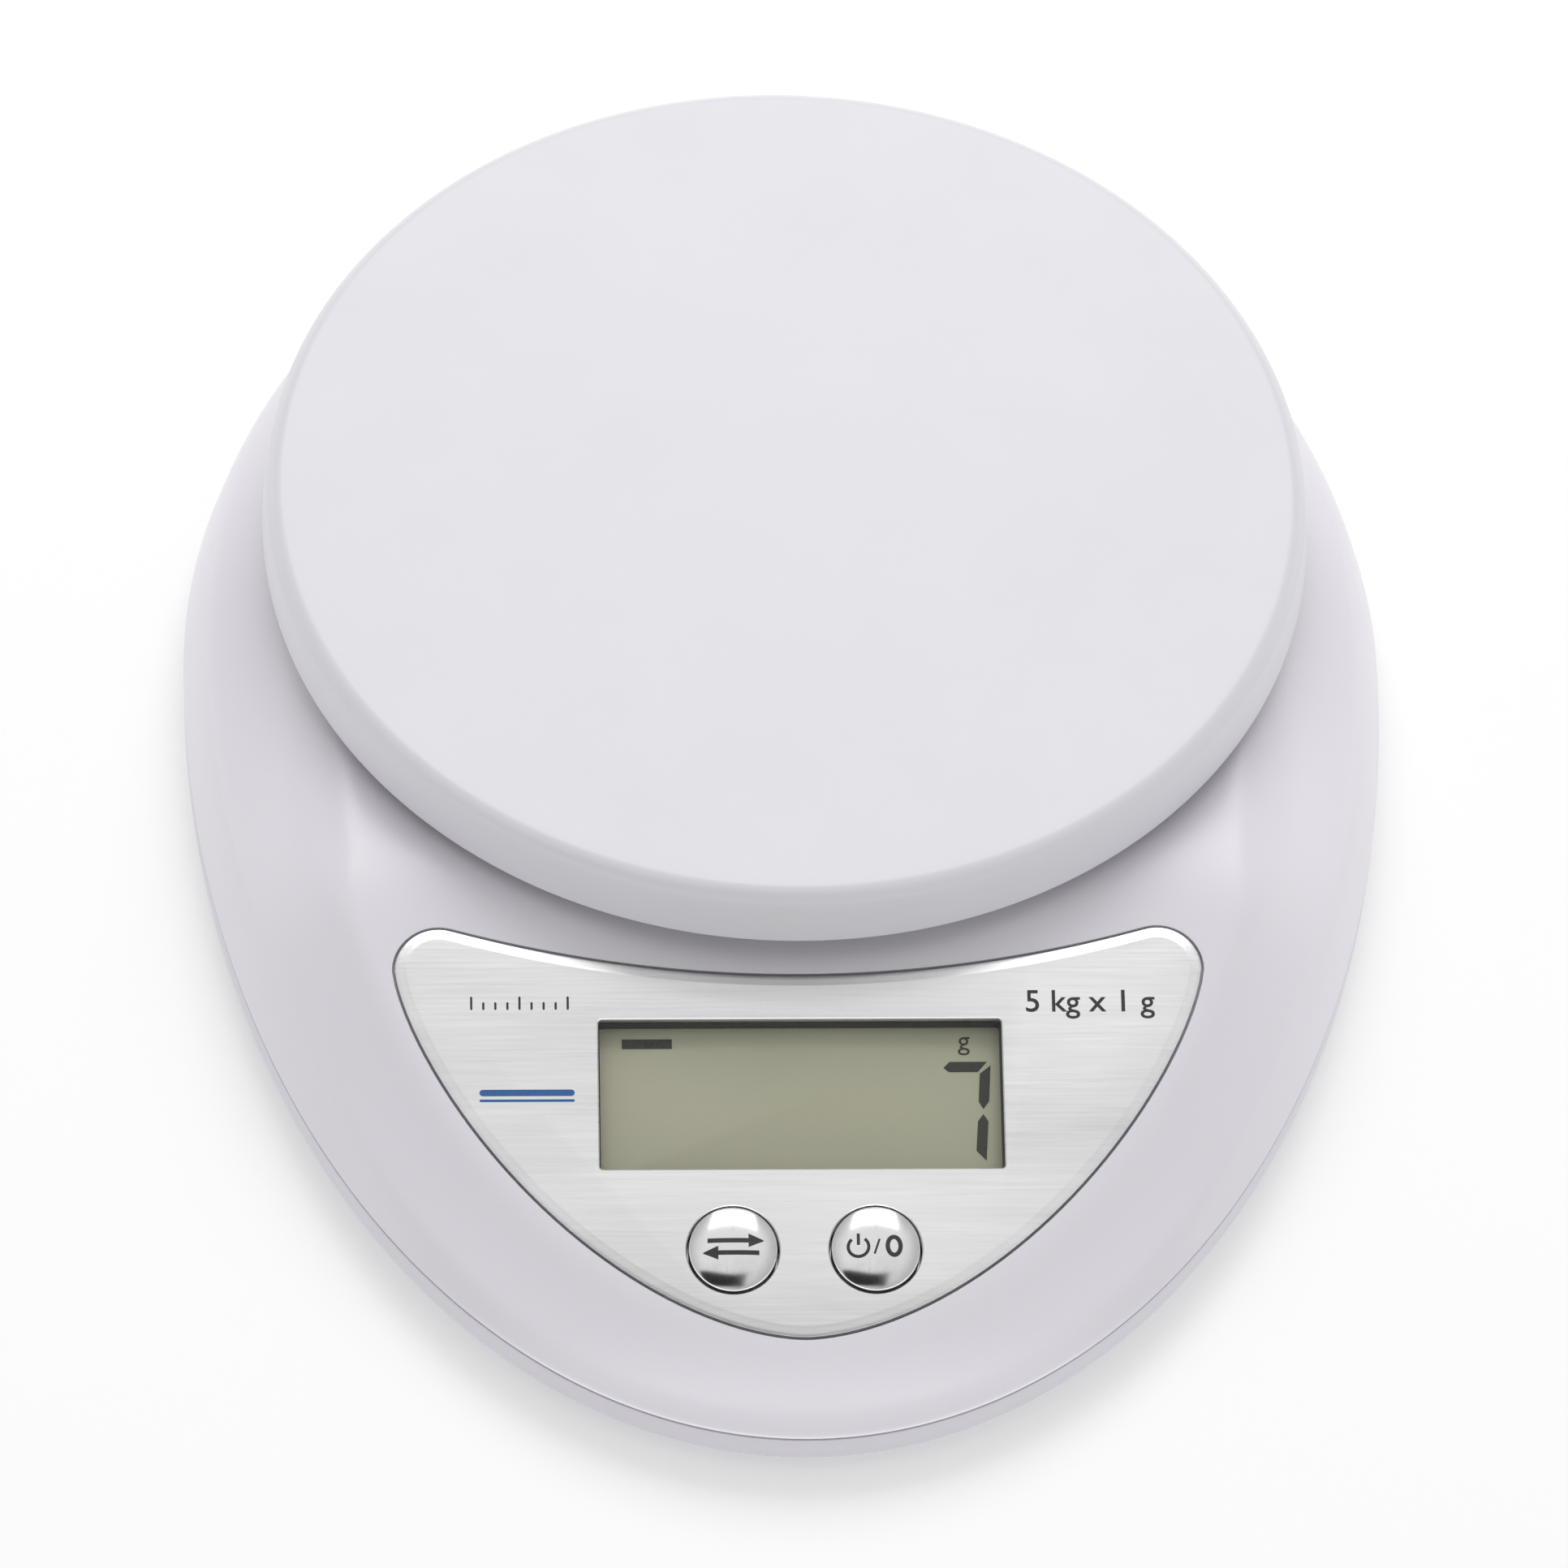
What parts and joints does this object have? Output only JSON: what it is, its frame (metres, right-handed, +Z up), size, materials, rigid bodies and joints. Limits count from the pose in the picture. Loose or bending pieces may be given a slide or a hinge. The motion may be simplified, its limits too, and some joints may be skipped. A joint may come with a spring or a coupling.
{
  "type": "tabletop digital scale",
  "caption": "Low drop-shaped digital scale with a round removable weighing plate on a load cell, a tilted silver display panel and two push buttons.",
  "frame": {"origin": "centre of the whole object's footprint, on the surface it stands on", "axes": "+Z up, +Y from the display towards the round back, +X to the user's right"},
  "size_m": [0.165, 0.217, 0.038],
  "materials": {
    "white_abs": "glossy white moulded ABS",
    "natural_abs": "matt natural ABS",
    "silver_panel": "satin silver lacquer behind a clear bevelled edge",
    "clear_pane": "clear acrylic",
    "lcd_grey_green": "grey-green reflective display",
    "dark_frame": "dark moulded plastic",
    "zebra_rubber": "banded silicone connector",
    "pcb_green": "green solder mask",
    "black_epoxy": "poured epoxy",
    "chrome_button": "electroplated plastic",
    "steel_screw": "zinc plated",
    "aluminium_cell": "machined",
    "white_sealant": "silicone sealant",
    "grey_rubber": "matt rubber",
    "nickel_contact": "nickel plated spring steel",
    "battery_wrap": "printed sleeve",
    "wire_red": "PVC insulation",
    "wire_black": "PVC insulation",
    "wire_white": "PVC insulation",
    "wire_green": "PVC insulation"
  },
  "bodies": {
    "housing": {"base_shell": "white_abs", "battery_1": "battery_wrap", "battery_2": "battery_wrap", "battery_bridge_contact": "nickel_contact", "battery_contact_minus": "nickel_contact", "battery_contact_plus": "nickel_contact", "battery_spring_bridge": "nickel_contact", "battery_spring_minus": "nickel_contact", "battery_wire_black": "wire_black", "battery_wire_red": "wire_red", "case_screw_1": "steel_screw", "case_screw_2": "steel_screw", "case_screw_3": "steel_screw", "case_screw_4": "steel_screw", "cell_base_screw_1": "steel_screw", "cell_base_screw_2": "steel_screw", "chip_blob": "black_epoxy", "display_window": "clear_pane", "face_panel": "silver_panel", "foot_1": "grey_rubber", "foot_2": "grey_rubber", "foot_3": "grey_rubber", "foot_4": "grey_rubber", "gauge_sealant": "white_sealant", "lcd_glass": "lcd_grey_green", "lcd_holder": "dark_frame", "load_cell": "aluminium_cell", "lower_spacer": "aluminium_cell", "main_pcb": "pcb_green", "overload_stop_screw": "steel_screw", "pcb_screw_1": "steel_screw", "pcb_screw_2": "steel_screw", "pcb_screw_3": "steel_screw", "pcb_screw_4": "steel_screw", "power_tare_switch": "dark_frame", "sensor_wire_black": "wire_black", "sensor_wire_green": "wire_green", "sensor_wire_red": "wire_red", "sensor_wire_white": "wire_white", "top_cover": "white_abs", "unit_switch": "dark_frame", "zebra_strip": "zebra_rubber"},
    "carrier": {"plate_carrier": "natural_abs", "upper_spacer": "aluminium_cell", "cell_carrier_screw_1": "steel_screw", "cell_carrier_screw_2": "steel_screw"},
    "plate": {"weighing_plate": "white_abs"},
    "unit_key": {"unit_button": "chrome_button", "unit_plunger": "natural_abs"},
    "power_tare_key": {"power_tare_button": "chrome_button", "power_tare_plunger": "natural_abs"},
    "battery_door": {"battery_cover": "white_abs"}
  },
  "joints": [
    {"name": "weigh_travel", "type": "slide", "parent": "housing", "child": "carrier", "axis": [0, 0, 1], "range_m": [-0.00025, 0], "stiffness_N_per_m": 40000, "springref_m": 0.00003},
    {"name": "plate_lift", "type": "slide", "parent": "carrier", "child": "plate", "axis": [0, 0, 1], "range_m": [0, 0.03]},
    {"name": "unit_press", "type": "slide", "parent": "housing", "child": "unit_key", "axis": [0, 0.2588, -0.9659], "range_m": [0, 0.0004], "stiffness_N_per_m": 800, "springref_m": -0.0005},
    {"name": "power_tare_press", "type": "slide", "parent": "housing", "child": "power_tare_key", "axis": [0, 0.2588, -0.9659], "range_m": [0, 0.0004], "stiffness_N_per_m": 800, "springref_m": -0.0005},
    {"name": "battery_door_hinge", "type": "hinge", "parent": "housing", "child": "battery_door", "pos_m": [0, 0.0616, 0.002], "axis": [-1, 0, 0], "range_deg": [0, 100]}
  ]
}
